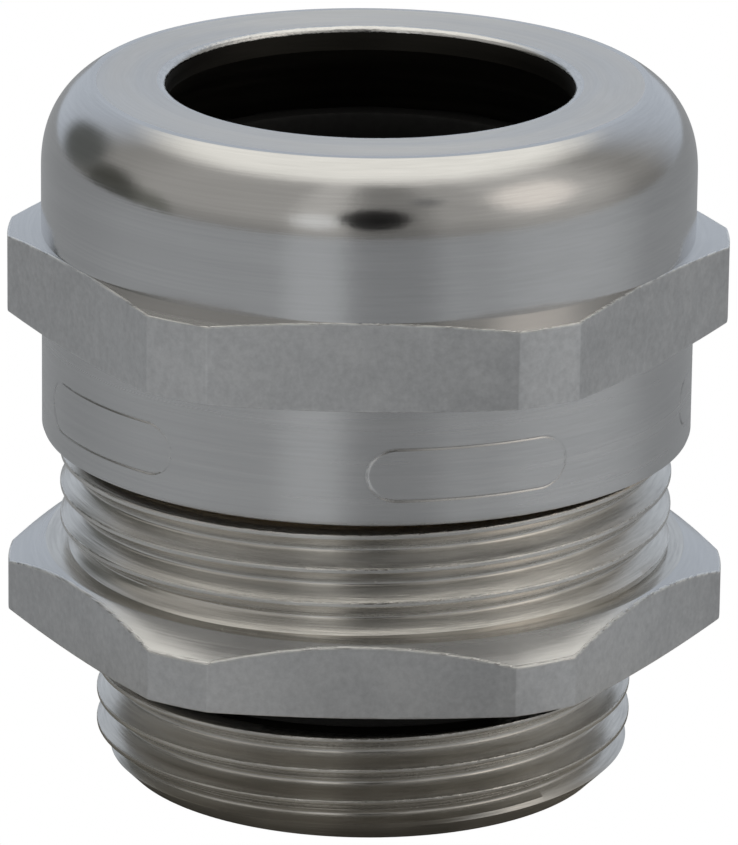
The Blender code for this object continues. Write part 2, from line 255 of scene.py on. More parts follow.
class Thread:
    """One thread's outline, as rows (height, radius, edge wear and painted highlight) that follow its helix.

    A crest passes the front at height crest_z. steps is the number of rows round each rounded corner.
    """

    def __init__(self, pitch, crest, root, crest_flat, flank, crest_z, crest_round, root_round, steps=3):
        self.pitch, self.crest_z = pitch, crest_z
        corners = [
            (-crest_flat / 2, crest, crest_round, 0.25),
            (crest_flat / 2, crest, crest_round, 1.0),
            (crest_flat / 2 + flank, root, root_round, 0.0),
            (pitch - crest_flat / 2 - flank, root, root_round, 0.3),
        ]
        self.rows = []
        count = len(corners)
        for k, (z, r, rounding, wear_and_highlight) in enumerate(corners):
            before, after = corners[k - 1], corners[(k + 1) % count]
            here = np.array((z, r))
            back = np.array((before[0] - (pitch if k == 0 else 0.0), before[1])) - here
            on = np.array((after[0] + (pitch if k == count - 1 else 0.0), after[1])) - here
            start = here + back / np.linalg.norm(back) * rounding
            end = here + on / np.linalg.norm(on) * rounding
            for t in np.linspace(0.0, 1.0, steps + 1):
                spot = (1 - t) ** 2 * start + 2 * t * (1 - t) * here + t**2 * end
                self.rows.append((spot[0], spot[1], wear_and_highlight * (1.0 - abs(2 * t - 1))))
            middle = (end + here + on - on / np.linalg.norm(on) * after[2]) / 2
            self.rows.append((middle[0], middle[1], 0.0))
        self.rows.sort()

    def at(self, phase_z):
        """(radius, edge wear and painted highlight) at a height above the crest's own helix."""
        z = np.array([row[0] for row in self.rows])
        wrapped = np.mod(phase_z - z[0], self.pitch) + z[0]
        z = np.append(z, z[0] + self.pitch)
        radius = np.array([row[1] for row in self.rows] + [self.rows[0][1]])
        wear_and_highlight = np.array([row[2] for row in self.rows] + [self.rows[0][2]])
        return np.interp(wrapped, z, radius), np.interp(wrapped, z, wear_and_highlight)

    def rings(self, angles, low_z, high_z, limit, finish=0):
        """An outline for Shell.sweep from low_z to high_z. limit(radius, z) trims the radius to the blank."""
        rise = self.pitch * (angles - FRONT) / TAU
        first = math.floor((low_z - self.crest_z) / self.pitch) - 2
        last = math.ceil((high_z - self.crest_z) / self.pitch) + 1
        for turn in range(first, last + 1):
            for dz, radius, wear_and_highlight in self.rows:
                z = self.crest_z + turn * self.pitch + dz + rise
                if z.min() > high_z + self.pitch or z.max() < low_z - self.pitch:
                    continue
                held = np.clip(z, low_z, high_z)
                outside = held != z
                r_at, w_at = self.at(held - self.crest_z - rise)
                r = np.where(outside, r_at, radius)
                w = np.where(outside, w_at, wear_and_highlight)
                trimmed = limit(r, held)
                yield trimmed, held, np.where(np.abs(trimmed - r) > 0.02, 0.0, w), finish


def soft_min(a, b, width):
    """The lesser of two radii, with the edge where they cross rounded over about this width."""
    return np.minimum(a, b) - width * np.exp(-np.abs(a - b) / width) * 0.35


# ---------------------------------------------------------------- materials


def math_node(tree, operation, a, b, clamp=False):
    """The result of a sum on two values, each a number or a socket."""
    made = tree.nodes.new("ShaderNodeMath")
    made.operation = operation
    made.use_clamp = clamp
    for k, value in enumerate((a, b)):
        if isinstance(value, float):
            made.inputs[k].default_value = value
        else:
            tree.links.new(value, made.inputs[k])
    return made.outputs[0]


def vector_math(tree, operation, a, b=None, scale=None):
    """A vector operation's node. a and b are tuples or sockets, and scale is a number or a socket."""
    made = tree.nodes.new("ShaderNodeVectorMath")
    made.operation = operation
    for key, value in ((0, a), (1, b), ("Scale", scale)):
        if value is None:
            continue
        if isinstance(value, (tuple, float)):
            made.inputs[key].default_value = value
        else:
            tree.links.new(value, made.inputs[key])
    return made


def remap(tree, value, from_low, from_high, to_low, to_high, smooth=False):
    """A value carried from one range to another and held inside it."""
    made = tree.nodes.new("ShaderNodeMapRange")
    made.interpolation_type = "SMOOTHSTEP" if smooth else "LINEAR"
    tree.links.new(value, made.inputs["Value"])
    made.inputs["From Min"].default_value = from_low
    made.inputs["From Max"].default_value = from_high
    made.inputs["To Min"].default_value = to_low
    made.inputs["To Max"].default_value = to_high
    return made.outputs["Result"]


def separate(tree, vector):
    """The X, Y and Z sockets of a vector."""
    made = tree.nodes.new("ShaderNodeSeparateXYZ")
    tree.links.new(vector, made.inputs[0])
    return made.outputs


def mix_colours(tree, factor, a, b):
    """A blend of two colours, each a tuple of three numbers or a colour socket."""
    made = tree.nodes.new("ShaderNodeMix")
    made.data_type = "RGBA"
    tree.links.new(factor, made.inputs["Factor"])
    for name, colour in (("A", a), ("B", b)):
        if isinstance(colour, tuple):
            made.inputs[name].default_value = (*colour, 1.0)
        else:
            tree.links.new(colour, made.inputs[name])
    return made.outputs["Result"]


def bump(tree, height, distance, normal=None):
    """The normal of a height map, whose range from 0 to 1 is this many metres deep."""
    made = tree.nodes.new("ShaderNodeBump")
    made.inputs["Distance"].default_value = distance
    tree.links.new(height, made.inputs["Height"])
    if normal is not None:
        tree.links.new(normal, made.inputs["Normal"])
    return made.outputs[0]


def scaled(colour, factor):
    return tuple(channel * factor for channel in colour)


def new_material(name):
    """A new material, its node tree and its Principled shader."""
    material = bpy.data.materials.new(name)
    material.use_nodes = True
    tree = material.node_tree
    return material, tree, tree.nodes["Principled BSDF"]


def object_place(tree):
    """A point's place in its own piece's coordinates, in metres."""
    return tree.nodes.new("ShaderNodeTexCoord").outputs["Object"]


def noise(tree, vector, scale, detail, roughness):
    made = tree.nodes.new("ShaderNodeTexNoise")
    made.inputs["Scale"].default_value = scale
    made.inputs["Detail"].default_value = detail
    made.inputs["Roughness"].default_value = roughness
    tree.links.new(vector, made.inputs["Vector"])
    return made.outputs["Fac"]


def turned_coordinates(tree, along):
    """(radius, height, angle x along): noise read with these runs in streaks round the axis."""
    split = separate(tree, object_place(tree))
    level = tree.nodes.new("ShaderNodeCombineXYZ")
    tree.links.new(split["X"], level.inputs["X"])
    tree.links.new(split["Y"], level.inputs["Y"])
    radius = vector_math(tree, "LENGTH", level.outputs[0]).outputs["Value"]
    direction = vector_math(tree, "NORMALIZE", level.outputs[0]).outputs[0]
    spread = separate(tree, vector_math(tree, "SCALE", direction, scale=along).outputs[0])
    made = tree.nodes.new("ShaderNodeCombineXYZ")
    # The small share added to the radius keeps the streaks from mirroring about the diagonal.
    nudged = math_node(tree, "ADD", radius, math_node(tree, "MULTIPLY", spread["Y"], 0.02))
    tree.links.new(nudged, made.inputs["X"])
    tree.links.new(split["Z"], made.inputs["Y"])
    tree.links.new(math_node(tree, "ADD", spread["X"], spread["Y"]), made.inputs["Z"])
    return made.outputs[0]


# Painted shade: a brown tint laid on the thread where it runs into the recess under the nut's skirt.
UNDER_SKIRT_SHADE = (0.62, 0.5, 0.35)
UNDER_SKIRT_SHADE_FADE = 0.0004  # metres from clean plate to the full painted shade
# Painted highlight: a near-white colour laid on worn crests and edges.
EDGE_HIGHLIGHT = (0.95, 0.95, 0.93)
BURR_HEIGHT = 0.00002


def nickel(name, colour, roughness, streaks, grain, anisotropy, uneven, shade_from=None):
    """Satin nickel plate.

    streaks and grain are the depths in metres of turning marks and of mottling, and uneven is how far
    the colour strays. Above the height given as the last argument, in metres, a brown painted shade covers
    the plate, as on the thread in the recess under the nut's skirt.
    """
    material, tree, shader = new_material(name)
    shader.inputs["Metallic"].default_value = 1.0
    shader.inputs["Anisotropic"].default_value = anisotropy
    shader.inputs["Anisotropic Rotation"].default_value = 0.25
    tangent = tree.nodes.new("ShaderNodeTangent")
    tangent.direction_type = "RADIAL"
    tangent.axis = "Z"
    tree.links.new(tangent.outputs[0], shader.inputs["Tangent"])

    place = object_place(tree)
    mottle = noise(tree, place, 900.0, 3.0, 0.6)
    cloud = noise(tree, place, 160.0, 2.0, 0.5)
    if streaks:
        round_place = turned_coordinates(tree, 0.0006)
        fine = noise(tree, round_place, 9000.0, 2.0, 0.6)
        broad = noise(tree, round_place, 1500.0, 2.0, 0.5)
    else:
        fine = noise(tree, place, 3000.0, 2.0, 0.7)
        broad = mottle
    wear_and_highlight = tree.nodes.new("ShaderNodeAttribute")
    wear_and_highlight.attribute_name = "wear_and_highlight"
    speck = noise(tree, turned_coordinates(tree, 0.0035), 5200.0, 2.0, 0.7)
    ragged_wear_and_highlight = remap(tree, speck, 0.38, 0.62, 0.0, 1.0)
    worn_and_highlit = math_node(tree, "MULTIPLY", wear_and_highlight.outputs["Fac"], ragged_wear_and_highlight, clamp=True)

    clouds = math_node(tree, "ADD", cloud, broad)
    shade = math_node(tree, "ADD", clouds, math_node(tree, "MULTIPLY", fine, 1.5))
    factor = remap(tree, shade, 1.3, 2.2, 0.0, 1.0)
    plate = mix_colours(tree, factor, scaled(colour, 1.0 - uneven), scaled(colour, 1.0 + uneven))
    # Painted shade: above the given height the plate turns brown, standing in for the shade in the recess
    # under the skirt.
    if shade_from is not None:
        height = separate(tree, place)["Z"]
        ragged = math_node(tree, "ADD", height, math_node(tree, "MULTIPLY", fine, 0.0003))
        shaded = remap(tree, ragged, shade_from, shade_from + UNDER_SKIRT_SHADE_FADE, 0.0, 1.0, True)
        plate = mix_colours(tree, shaded, plate, UNDER_SKIRT_SHADE)
    # Painted highlight: the wear mask lightens crests and edges toward near white. The extra roughness and
    # the burr below are the real wear.
    coloured = mix_colours(tree, math_node(tree, "MULTIPLY", worn_and_highlit, 0.8), plate, EDGE_HIGHLIGHT)
    tree.links.new(coloured, shader.inputs["Base Color"])

    varied = remap(tree, broad, 0.3, 0.7, roughness * 0.85, roughness * 1.15)
    rough_edge = math_node(tree, "MULTIPLY", worn_and_highlit, 0.25)
    tree.links.new(math_node(tree, "ADD", varied, rough_edge, clamp=True), shader.inputs["Roughness"])

    marks = math_node(tree, "ADD", fine, math_node(tree, "MULTIPLY", broad, 1.2))
    normal = bump(tree, marks, streaks)
    normal = bump(tree, mottle, grain, normal)
    normal = bump(tree, worn_and_highlit, BURR_HEIGHT, normal)
    tree.links.new(normal, shader.inputs["Normal"])
    return material


def dull(name, colour, roughness, depth, scale):
    """Matt black rubber or polyamide with a fine moulded grain, depth metres deep."""
    material, tree, shader = new_material(name)
    shader.inputs["Specular IOR Level"].default_value = 0.3
    grain = noise(tree, object_place(tree), scale, 3.0, 0.6)
    coloured = mix_colours(tree, grain, scaled(colour, 0.7), scaled(colour, 1.3))
    tree.links.new(coloured, shader.inputs["Base Color"])
    varied = remap(tree, grain, 0.3, 0.7, roughness - 0.08, roughness + 0.08)
    tree.links.new(varied, shader.inputs["Roughness"])
    tree.links.new(bump(tree, grain, depth), shader.inputs["Normal"])
    return material


NICKEL = (0.60, 0.60, 0.60)
THREAD_NICKEL = (0.63, 0.615, 0.585)
# Painted shade: the bores, neck, cone and inner thread are plated like the rest, but get a near-black colour
# for the shade deep in these recesses.
RECESS_PAINTED_SHADE = (0.055, 0.052, 0.046)
TURNED, DRAWN, DOME, SHADED_RECESS, THREAD, FACE = range(6)  # a face's finish is its place in metals
metals = [
    nickel("nickel_turned", NICKEL, roughness=0.25, streaks=4.5e-6, grain=3e-6, anisotropy=0.6, uneven=0.06),
    nickel("nickel_drawn", NICKEL, roughness=0.36, streaks=0.0, grain=9e-6, anisotropy=0.0, uneven=0.12),
    nickel("nickel_dome", NICKEL, roughness=0.16, streaks=1.8e-6, grain=5e-6, anisotropy=0.4, uneven=0.055),
    # painted shade for the faces inside the recesses
    nickel(
        "nickel_recess_painted_shade",
        RECESS_PAINTED_SHADE,
        roughness=0.5,
        streaks=4e-6,
        grain=2e-6,
        anisotropy=0.5,
        uneven=0.07,
    ),
    nickel(
        "nickel_thread",
        THREAD_NICKEL,
        roughness=0.24,
        streaks=8e-6,
        grain=3e-6,
        anisotropy=0.6,
        uneven=0.18,
        # painted brown shade on the thread from 15.65 mm up, where it runs under the skirt
        shade_from=0.01565,
    ),
    nickel("nickel_face", NICKEL, roughness=0.42, streaks=1.8e-6, grain=5e-6, anisotropy=0.3, uneven=0.055),
]
polyamide = dull("black_polyamide", (0.006, 0.006, 0.0065), roughness=0.55, depth=4e-6, scale=3500.0)
rubber = dull("black_rubber", (0.005, 0.005, 0.005), roughness=0.75, depth=6e-6, scale=2600.0)


# ---------------------------------------------------------------- gland body


def hex_rings(angles, turn, inside, bottom_at, top_inside, top_at):
    """The outline of a spanner hexagon, from its underside round its flats to its top."""
    radius = hex_radius(angles, turn)
    low, high = bottom_at(radius), top_at(radius)
    inner = np.full_like(radius, inside)
    crown = np.full_like(radius, top_inside)
    return [
        (inner, bottom_at(inner), 0.0, TURNED),
        (radius - 0.05, bottom_at(radius - 0.05), 0.1, TURNED),
        (radius - 0.012, low + 0.012, 0.4, DRAWN),
        (radius, low + 0.05, 0.2, DRAWN),
        (radius, low + 0.12, 0.0, DRAWN),
        (radius, high - 0.12, 0.0, DRAWN),
        (radius, high - 0.05, 0.7, DRAWN),
        (radius - 0.015, high - 0.01, 1.0, DRAWN),
        (radius - 0.06, top_at(radius - 0.06), 1.0, TURNED),
        (radius - 0.13, top_at(radius - 0.13), 0.0, TURNED),
        (crown, top_at(crown), 0.0, TURNED),
    ]


def body_hex_top(radius):
    slope = BODY_HEX_CONE_DROP / (CORNER_RADIUS - BODY_HEX_CONE_RADIUS)
    return np.minimum(BODY_HEX_TOP_Z, BODY_HEX_TOP_Z - (radius - BODY_HEX_CONE_RADIUS) * slope)


def body_hex_bottom(radius):
    slope = SEAT_CONE_RISE / (CORNER_RADIUS - SEAT_OUTER_RADIUS)
    return np.maximum(SEAT_Z, SEAT_Z + (radius - SEAT_OUTER_RADIUS) * slope)


def gland_body():
    """The body's turning, as one outline: bore, connection thread, neck, hexagon, cap thread, insert bore."""
    angles = hex_angles(0.0)
    lower = Thread(
        pitch=1.5,
        crest=12.4,
        root=11.5,
        crest_flat=0.2,
        flank=0.5,
        crest_z=5.12,
        crest_round=0.06,
        root_round=0.1,
    )
    upper = Thread(
        pitch=CAP_PITCH,
        crest=CAP_CREST_RADIUS,
        root=CAP_ROOT_RADIUS,
        crest_flat=0.2,
        flank=0.6,
        crest_z=CAP_CREST_Z,
        crest_round=0.07,
        root_round=0.1,
    )

    def lower_limit(radius, z):
        chamfer = END_CHAMFER_RADIUS + z
        return soft_min(radius, chamfer, CHAMFER_EDGE)

    def upper_limit(radius, z):
        run_out = np.clip((CAP_RUN_OUT_Z - z) / CAP_RUN_OUT, 0.0, 1.0)
        low, high = CAP_ROOT_RADIUS + 0.3 * run_out, CAP_CREST_RADIUS - 0.1 * run_out
        chamfer = BODY_TOP_Z - z + CAP_ROOT_RADIUS
        return soft_min(np.clip(radius, low, high), chamfer, CHAMFER_EDGE)

    shell = Shell()
    bore = [
        (BORE_RADIUS, INSERT_SEAT_Z, 0.0, SHADED_RECESS),
        (BORE_RADIUS, 0.5, 0.0, SHADED_RECESS),
        (BORE_RADIUS + 0.5, 0.0, 0.2, TURNED),
        (END_CHAMFER_RADIUS - 0.05, 0.0, 0.0, TURNED),
    ]
    last = shell.sweep(angles, bore)
    last = shell.sweep(angles, lower.rings(angles, 0.0, NECK_BOTTOM_Z, lower_limit, THREAD), last)
    neck = [
        (NECK_RADIUS, NECK_BOTTOM_Z, 0.0, SHADED_RECESS),
        (NECK_RADIUS, SEAT_Z + SEAT_RECESS, 0.0, SHADED_RECESS),
        (SEAT_INNER_RADIUS, SEAT_Z + SEAT_RECESS, 0.0, TURNED),
        (SEAT_INNER_RADIUS, SEAT_Z, 0.0, TURNED),
    ]
    last = shell.sweep(angles, neck, last)
    rings = hex_rings(
        angles, 0.0, SEAT_OUTER_RADIUS - 0.03, body_hex_bottom, BODY_HEX_CONE_RADIUS + 0.03, body_hex_top
    )
    last = shell.sweep(angles, rings, last)
    last = shell.sweep(angles, [(BODY_HEX_CONE_RADIUS - 0.03, BODY_HEX_TOP_Z, 0.0, TURNED)], last)
    last = shell.sweep(angles, upper.rings(angles, BODY_HEX_TOP_Z, BODY_TOP_Z, upper_limit, THREAD), last)
    inside = [
        (INSERT_BORE_RADIUS + 0.4, BODY_TOP_Z, 0.0, TURNED),
        (INSERT_BORE_RADIUS, BODY_TOP_Z - 0.4, 0.0, SHADED_RECESS),
        (INSERT_BORE_RADIUS, INSERT_SEAT_Z, 0.0, SHADED_RECESS),
        (BORE_RADIUS, INSERT_SEAT_Z, 0.0, SHADED_RECESS),
    ]
    shell.sweep(angles, inside, last)
    piece = weigh_normals(shell.build("body_turning", metals))
    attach(piece, "gland")
    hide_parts("gland_body")
    return piece


# ---------------------------------------------------------------- cap nut


def pad_azimuths():
    return [(FRONT + PAD_FIRST_AZIMUTH + TAU * k / PAD_COUNT) % TAU for k in range(PAD_COUNT)]


def scribe_depth(angles, z):
    """How deep the pad outlines are cut at these angles, at height z."""
    depth = np.zeros(len(angles))
    for middle in pad_azimuths():
        across = ((angles - middle + math.pi) % TAU - math.pi) * SKIRT_RADIUS
        over = np.maximum(np.abs(across) - (PAD_HALF_WIDTH - PAD_END), 0.0) / PAD_END
        up = (z - PAD_MIDDLE_Z) / PAD_HALF_HEIGHT
        reach = np.sqrt(over**2 + up**2)
        slope = np.sqrt((over / PAD_END) ** 2 + (up / PAD_HALF_HEIGHT) ** 2) / np.maximum(reach, 1e-6)
        off = (reach - 1.0) / np.maximum(slope, 1e-6)
        near = np.clip(1.0 - (off / SCRIBE_HALF_WIDTH) ** 2, 0.0, 1.0)
        depth = np.maximum(depth, SCRIBE_DEPTH * near**2)
    return depth


def pad_angles(coarse):
    """The coarse angles, all of them, with finer steps between them at the rounded ends of each pad."""
    steps = np.arange(PAD_HALF_WIDTH - PAD_END - 0.1, PAD_HALF_WIDTH + 0.15, PAD_FINE_STEP) / SKIRT_RADIUS
    fine = [(middle + side * s) % TAU for middle in pad_azimuths() for side in (-1, 1) for s in steps]
    needed = set(coarse.tolist())
    every = np.unique(np.concatenate([coarse, fine]))
    kept = [every[0]]
    for angle in every[1:]:
        crowded = angle - kept[-1] < PAD_LEAST_GAP
        if crowded and angle in needed and kept[-1] not in needed:
            kept.pop()
        if angle in needed or not crowded:
            kept.append(angle)
    return np.array(kept)


def skirt_rows():
    """The heights of the skirt's rings, closest where the pads' straight outlines run."""
    low, high = PAD_MIDDLE_Z - PAD_HALF_HEIGHT, PAD_MIDDLE_Z + PAD_HALF_HEIGHT
    lines = [np.arange(z - 0.13, z + 0.1301, 0.0325) for z in (low, high)]
    between = np.linspace(low + 0.18, high - 0.18, 30)
    return np.concatenate([lines[0], between, lines[1]])


def nut_hex_top(radius):
    inside = SKIRT_RADIUS - 0.2
    return NUT_HEX_TOP_Z - (radius - inside) * NUT_HEX_TOP_DROP / (CORNER_RADIUS - inside)


def nut_hex_bottom(radius):
    inside = SKIRT_RADIUS - 0.2
    return NUT_HEX_BOTTOM_Z + (radius - inside) * NUT_HEX_BOTTOM_RISE / (CORNER_RADIUS - inside)


def shoulder_radius(z):
    up = (z - DOME_START_Z) / SHOULDER_AXIAL
    return DOME_RADIUS - SHOULDER_RADIAL * (1.0 - (1.0 - up**SHOULDER_POWER) ** (1.0 / SHOULDER_POWER))


def dome_outline():
    """The nut's outside above its hexagon, over the top ring and down the cone that presses the lamellae."""
    dome = [(DOME_RADIUS, z, 0.0, DOME) for z in np.linspace(NUT_HEX_TOP_Z + 0.1, DOME_START_Z - 0.2, 5)]
    rise = OVERALL_Z - TOP_EDGE_DROP - DOME_START_Z
    for t in np.linspace(0.0, math.pi / 2 - 0.03, 44):
        z = DOME_START_Z + rise * math.sin(t)
        dome.append((shoulder_radius(z), z, 0.0, DOME))
    edge_r, edge_z = dome[-1][:2]
    for t in np.linspace(0.0, 1.0, 6)[1:]:
        dome.append((edge_r - TOP_EDGE * t, edge_z + (OVERALL_Z - edge_z) * (1 - (1 - t) ** 2), 0.0, DOME))
    dome.append((NUT_BORE_RADIUS + LIP_ROUND + 0.03, OVERALL_Z, 0.0, FACE))
    # The lip's rounding has a wear value of 0.35, which also paints a highlight along it.
    for t in np.linspace(0.0, math.pi / 2, 7)[1:]:
        r = NUT_BORE_RADIUS + LIP_ROUND * (1 - math.sin(t))
        z = OVERALL_Z - LIP_ROUND_HEIGHT * (1 - math.cos(t))
        dome.append((r, z, 0.35, DOME))
    dome += [
        (NUT_BORE_RADIUS, OVERALL_Z - LIP_ROUND_HEIGHT - 0.03, 0.0, DOME),
        (NUT_BORE_RADIUS, CONE_TOP_Z, 0.0, SHADED_RECESS),
        (NUT_MINOR_RADIUS, CONE_BOTTOM_Z, 0.0, SHADED_RECESS),
    ]
    return dome


def cap_nut():
    """The nut's turning, as one outline: skirt with its pads, hexagon, dome, cone and inside thread."""
    angles = hex_angles(NUT_HEX_TURN)
    fine_angles = pad_angles(angles)
    shell = Shell()
    skirt = [
        (SKIRT_MOUTH_RADIUS, SKIRT_BOTTOM_Z, 0.3, TURNED),
        (SKIRT_RADIUS - 0.22, SKIRT_BOTTOM_Z, 0.2, TURNED),
        (SKIRT_RADIUS - 0.06, SKIRT_BOTTOM_Z + 0.09, 0.2, TURNED),
        (SKIRT_RADIUS, SKIRT_BOTTOM_Z + 0.25, 0.0, TURNED),
        (SKIRT_RADIUS, SKIRT_BOTTOM_Z + 0.6, 0.0, TURNED),
    ]
    last = shell.sweep(angles, skirt)
    for z in skirt_rows():
        depth = scribe_depth(fine_angles, z)
        current = shell.ring(fine_angles, SKIRT_RADIUS - depth, z, depth / SCRIBE_DEPTH * 0.15)
        shell.join(last, current, TURNED)
        last = current
    last = shell.sweep(
        angles,
        [
            (SKIRT_RADIUS, PAD_MIDDLE_Z + PAD_HALF_HEIGHT + 0.5, 0.0, TURNED),
            (SKIRT_RADIUS, nut_hex_bottom(SKIRT_RADIUS), 0.0, TURNED),
        ],
        last,
    )
    rings = hex_rings(
        angles, NUT_HEX_TURN, SKIRT_RADIUS + 0.01, nut_hex_bottom, DOME_RADIUS + 0.002, nut_hex_top
    )
    last = shell.sweep(angles, rings, last)
    last = shell.sweep(angles, dome_outline(), last)
    inner = Thread(
        pitch=CAP_PITCH,
        crest=14.3,
        root=13.4,
        crest_flat=0.26,
        flank=0.655,
        crest_z=CAP_CREST_Z,
        crest_round=0.05,
        root_round=0.05,
        steps=1,
    )

    def inner_limit(radius, z):
        mouth = SKIRT_MOUTH_RADIUS - (z - SKIRT_BOTTOM_Z)
        return np.maximum(np.maximum(radius, NUT_MINOR_RADIUS), mouth)

    rows = list(inner.rings(angles, SKIRT_BOTTOM_Z, NUT_THREAD_TOP_Z, inner_limit, SHADED_RECESS))[::-1]
    shell.sweep(angles, rows + [(SKIRT_MOUTH_RADIUS, SKIRT_BOTTOM_Z, 0.3, SHADED_RECESS)], last)
    piece = weigh_normals(shell.build("dome_nut", metals))
    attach(piece, "cap_nut")
    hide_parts("cap_nut")
    return piece


# ---------------------------------------------------------------- inserts and seals


def ring_piece(name, outline, material, node_name, body, columns=121, sharp_deg=40.0):
    """A closed outline of (radius, height) turned round Z, in place of one CAD node."""
    shell = Shell()
    angles = np.linspace(0.0, TAU, columns)
    shell.sweep(angles, [(r, z, 0.0, 0) for r, z in outline + outline[:1]])
    piece = shell.build(name, [material], sharp_deg)
    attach(piece, body)
    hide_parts(node_name)
    return piece


def o_ring():
    section = (ring_high.z - ring_low.z) / 2
    middle_r = ring_high.x - section
    middle_z = (ring_high.z + ring_low.z) / 2
    outline = []
    for k in range(24):
        t = TAU * k / 24
        outline.append((middle_r + section * math.cos(t), middle_z + section * math.sin(t)))
    return ring_piece("seat_seal", outline, rubber, "connection_o_ring", "gland", 241, 60.0)


def cage():
    low, high = cage_low.z, cage_high.z
    inner, outer, collar = 10.9, 11.7, cage_high.x
    outline = [
        (inner + 0.15, low),
        (outer - 0.2, low),
        (outer, low + 0.2),
        (outer, high - 0.9),
        (collar - 0.1, high - 0.9),
        (collar, high - 0.8),
        (collar, high - 0.1),
        (collar - 0.1, high),
        (inner + 0.1, high),
        (inner, high - 0.1),
        (inner, low + 0.15),
    ]
    return ring_piece("clamp_ring", outline, polyamide, "clamp_cage", "gland")


def layered_piece(name, layers, material, sharp_deg):
    """A closed piece through layers of points in millimetres. Each layer is one closed outline."""
    bm = bmesh.new()
    rings = [[bm.verts.new(point) for point in layer] for layer in layers]
    count = len(rings[0])
    for a, b in zip(rings, rings[1:]):
        for k in range(count):
            n = (k + 1) % count
            bm.faces.new((a[k], a[n], b[n], b[k]))
    bm.faces.new(rings[0])
    bm.faces.new(rings[-1])
    bmesh.ops.recalc_face_normals(bm, faces=bm.faces[:])
    bmesh.ops.scale(bm, vec=(MM, MM, MM), verts=bm.verts[:])
    mesh = bpy.data.meshes.new(name)
    bm.to_mesh(mesh)
    bm.free()
    mesh.materials.append(material)
    mesh.shade_smooth()
    mesh.set_sharp_from_angle(angle=math.radians(sharp_deg))
    piece = bpy.data.objects.new(name, mesh)
    bpy.context.scene.collection.objects.link(piece)
    return piece


def outwards(azimuth, radius, z):
    """A point in metres, from a radius and a height in millimetres."""
    return Vector((radius * math.cos(azimuth), radius * math.sin(azimuth), z)) * MM


# A lamella's outline, as (distance out, height) from its hinge: film foot, back, tip and front.
LAMELLA_OUTLINE = [
    (-0.82, -0.35),
    (-0.52, -0.35),
    (-0.5, -0.08),
    (-0.5, 0.02),
    (-0.46, 0.12),
    (0.0, 1.2),
    (0.0, LAMELLA_LENGTH - 1.0),
    (-0.12, LAMELLA_LENGTH - 0.7),
    (-0.5, LAMELLA_LENGTH - 0.08),
    (-0.6, LAMELLA_LENGTH),
    (-0.92, LAMELLA_LENGTH),
    (-1.0, LAMELLA_LENGTH - 0.1),
    (-1.0, 0.42),
    (-0.84, 0.1),
]
LAMELLA_FOOT_WIDTH, LAMELLA_TIP_WIDTH = 3.9, 3.0
LAMELLA_BOW = 0.14
FILM_TOP = -0.02  # points above this height lean with the lamella


def lamella(index):
    """A lamella with its film hinge: its foot stays in the collar, and the film bends."""
    azimuth = TAU * index / LAMELLA_COUNT
    name = f"lamella_{index + 1:02d}"
    lean = Matrix.Rotation(-LAMELLA_LEAN, 4, "Y")
    place = Matrix.Rotation(azimuth, 4, "Z") @ Matrix.Translation((cage_high.x, 0.0, HINGE_Z))
    layers = []
    for side in np.linspace(-0.5, 0.5, 7):
        layer = []
        for x, z in LAMELLA_OUTLINE:
            narrowing = (LAMELLA_FOOT_WIDTH - LAMELLA_TIP_WIDTH) * max(z, 0.0) / LAMELLA_LENGTH
            bow = LAMELLA_BOW * (1.0 - (2 * side) ** 2) if x > -0.9 and z > 0.5 else 0.0
            point = Vector((x - LAMELLA_BOW + bow, side * (LAMELLA_FOOT_WIDTH - narrowing), z))
            layer.append(place @ (lean @ point if z > FILM_TOP else point))
        layers.append(layer)
    piece = layered_piece(name + "_strip", layers, polyamide, 35.0)
    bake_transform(piece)
    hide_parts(name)
    return piece


SEAL_INNER, SEAL_OUTER, SEAL_TIP = 9.05, 10.6, 10.2
SEAL_SPLIT_Z = 21.5
SEAL_TAPER_Z = 24.0


def seal_foot():
    low = seal_low.z
    outline = [
        (SEAL_INNER + 0.2, low),
        (SEAL_OUTER - 0.2, low),
        (SEAL_OUTER, low + 0.2),
        (SEAL_OUTER, SEAL_SPLIT_Z),
        (SEAL_INNER, SEAL_SPLIT_Z),
        (SEAL_INNER, low + 0.2),
    ]
    return ring_piece("seal_sleeve", outline, rubber, "sealing_insert", "gland")


def seal_lip(index):
    """The stretch of the sealing insert inside one lamella, standing upright."""
    azimuth = TAU * index / LAMELLA_COUNT
    half = math.pi / LAMELLA_COUNT
    high = seal_high.z
    heights = [SEAL_SPLIT_Z, 21.8, 22.1, 22.4, 23.0, SEAL_TAPER_Z, 25.5, 27.0, high - 0.15]
    taper = (SEAL_OUTER - SEAL_TIP) / (high - SEAL_TAPER_Z)
    profile = [(SEAL_OUTER - max(0.0, z - SEAL_TAPER_Z) * taper, z) for z in heights]
    profile += [(SEAL_TIP - 0.12, high), (SEAL_INNER + 0.12, high)]
    profile += [(SEAL_INNER, z) for z in heights[::-1]]
    layers = [
        [(r * math.cos(azimuth + a), r * math.sin(azimuth + a), z) for r, z in profile]
        for a in np.linspace(-half, half, 9)
    ]
    piece = layered_piece(f"seal_lip_{index + 1:02d}", layers, rubber, 40.0)
    outwards(azimuth, SEAL_OUTER, SEAL_SPLIT_Z)
    outwards(azimuth, SEAL_OUTER, SEAL_SPLIT_Z + 1.0)
    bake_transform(piece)
    return piece


gland_body()
cap_nut()
o_ring()
cage()
seal_foot()
for number in range(LAMELLA_COUNT):
    lamella(number)
    seal_lip(number)


# ---------------------------------------------------------------- floor, light and camera


def aim_vector(azimuth, elevation=0.0):
    """A unit direction. azimuth is degrees from the front toward +X, and elevation is degrees up."""
    a, e = math.radians(azimuth), math.radians(elevation)
    return (math.sin(a) * math.cos(e), -math.cos(a) * math.cos(e), math.sin(e))


